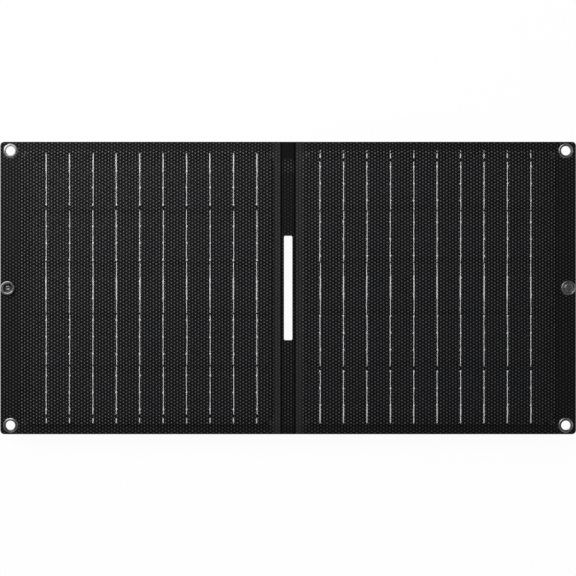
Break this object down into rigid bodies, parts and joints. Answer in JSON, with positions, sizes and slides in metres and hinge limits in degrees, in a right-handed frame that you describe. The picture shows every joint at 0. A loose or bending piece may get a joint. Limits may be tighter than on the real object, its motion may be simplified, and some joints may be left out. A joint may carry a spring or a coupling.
{
  "type": "folding solar panel charger",
  "caption": "Folding portable solar charger: stiff laminated wings on a soft spine with a hand slot, corner eyelets, a closing snap and a USB output box behind one wing.",
  "frame": {"origin": "under the middle of the spine, level with the output box's underside, with the panel open flat and face up", "axes": "+X across the wings towards the one with the snap stud, +Y along the spine, +Z out of the charging face"},
  "size_m": [0.443, 0.225, 0.0169],
  "materials": {
    "front_film": "black fluoropolymer film with a fine embossed dot pattern, satin",
    "encapsulant": "cross-linked encapsulant, dark",
    "solar_cell": "near-black monocrystalline silicon with an anti-reflection coat",
    "cell_ribbon": "tinned copper ribbon, satin",
    "bus_bar": "black coated copper strip, matt",
    "stiffener_board": "black glass-epoxy board, matt",
    "rear_fabric": "black coated plain-weave polyester cloth",
    "crease_laminate": "soft black laminate, matt",
    "nickel_fitting": "nickel-plated brass, slightly worn",
    "spring_steel": "drawn steel wire, satin",
    "copper_lead": "tinned copper conductor, satin",
    "box_plastic": "black moulded plastic with a fine spark texture",
    "seal_rubber": "silicone seal, matt",
    "cover_rubber": "moulded cover, soft matt black",
    "screw_steel": "black zinc-plated steel",
    "circuit_board": "green solder mask",
    "port_shell": "stamped nickel-plated steel",
    "port_plastic": "black moulded plastic",
    "ferrite": "dark ferrite, matt",
    "capacitor_can": "drawn aluminium can",
    "chip_epoxy": "black moulded epoxy",
    "led_package": "white package with a clear window",
    "indicator_lens": "frosted clear light pipe"
  },
  "bodies": {
    "left_wing": {"left_front_film": "front_film", "left_front_encapsulant": "encapsulant", "left_cell_strip_1": "solar_cell", "left_cell_strip_2": "solar_cell", "left_cell_strip_3": "solar_cell", "left_cell_strip_4": "solar_cell", "left_cell_strip_5": "solar_cell", "left_cell_ribbons": "cell_ribbon", "left_bus_bars": "bus_bar", "left_rear_encapsulant": "encapsulant", "left_stiffener_board": "stiffener_board", "left_edge_encapsulant": "encapsulant", "left_rear_fabric": "rear_fabric", "left_eyelets": "nickel_fitting", "left_eyelet_washers": "nickel_fitting", "negative_lead": "copper_lead", "return_lead": "copper_lead", "snap_socket": "nickel_fitting", "snap_spring_ring": "spring_steel", "snap_socket_rivet": "nickel_fitting", "box_lid": "box_plastic", "box_base": "box_plastic", "box_gasket": "seal_rubber", "box_screws": "screw_steel", "circuit_board": "circuit_board", "usb_a_shell": "port_shell", "usb_a_tongue": "port_plastic", "usb_c_shell": "port_shell", "usb_c_tongue": "port_plastic", "inductor": "ferrite", "capacitors": "capacitor_can", "controller_chip": "chip_epoxy", "indicator_led": "led_package", "indicator_lens": "indicator_lens", "port_cover_pin": "spring_steel"},
    "spine": {"spine_front_film": "front_film", "spine_core": "encapsulant", "spine_rear_fabric": "rear_fabric", "spine_jumpers": "bus_bar", "left_crease_strip": "crease_laminate", "right_crease_strip": "crease_laminate"},
    "right_wing": {"right_front_film": "front_film", "right_front_encapsulant": "encapsulant", "right_cell_strip_1": "solar_cell", "right_cell_strip_2": "solar_cell", "right_cell_strip_3": "solar_cell", "right_cell_strip_4": "solar_cell", "right_cell_strip_5": "solar_cell", "right_cell_ribbons": "cell_ribbon", "right_bus_bars": "bus_bar", "right_rear_encapsulant": "encapsulant", "right_stiffener_board": "stiffener_board", "right_edge_encapsulant": "encapsulant", "right_rear_fabric": "rear_fabric", "right_eyelets": "nickel_fitting", "right_eyelet_washers": "nickel_fitting", "snap_stud": "nickel_fitting", "snap_stud_rivet": "nickel_fitting"},
    "port_cover": {"port_cover": "cover_rubber"}
  },
  "joints": [
    {"name": "left_crease", "type": "hinge", "parent": "left_wing", "child": "spine", "pos_m": [-0.006, 0, 0.01353], "axis": [0, -1, 0], "range_deg": [0, 90.98], "deforming": ["left_crease_strip"]},
    {"name": "right_crease", "type": "hinge", "parent": "spine", "child": "right_wing", "pos_m": [0.006, 0, 0.01353], "axis": [0, -1, 0], "range_deg": [0, 90.98], "deforming": ["right_crease_strip"]},
    {"name": "port_cover_hinge", "type": "hinge", "parent": "left_wing", "child": "port_cover", "pos_m": [-0.1277, -0.0274, 0.00615], "axis": [0, 0, -1], "range_deg": [0, 110]}
  ]
}
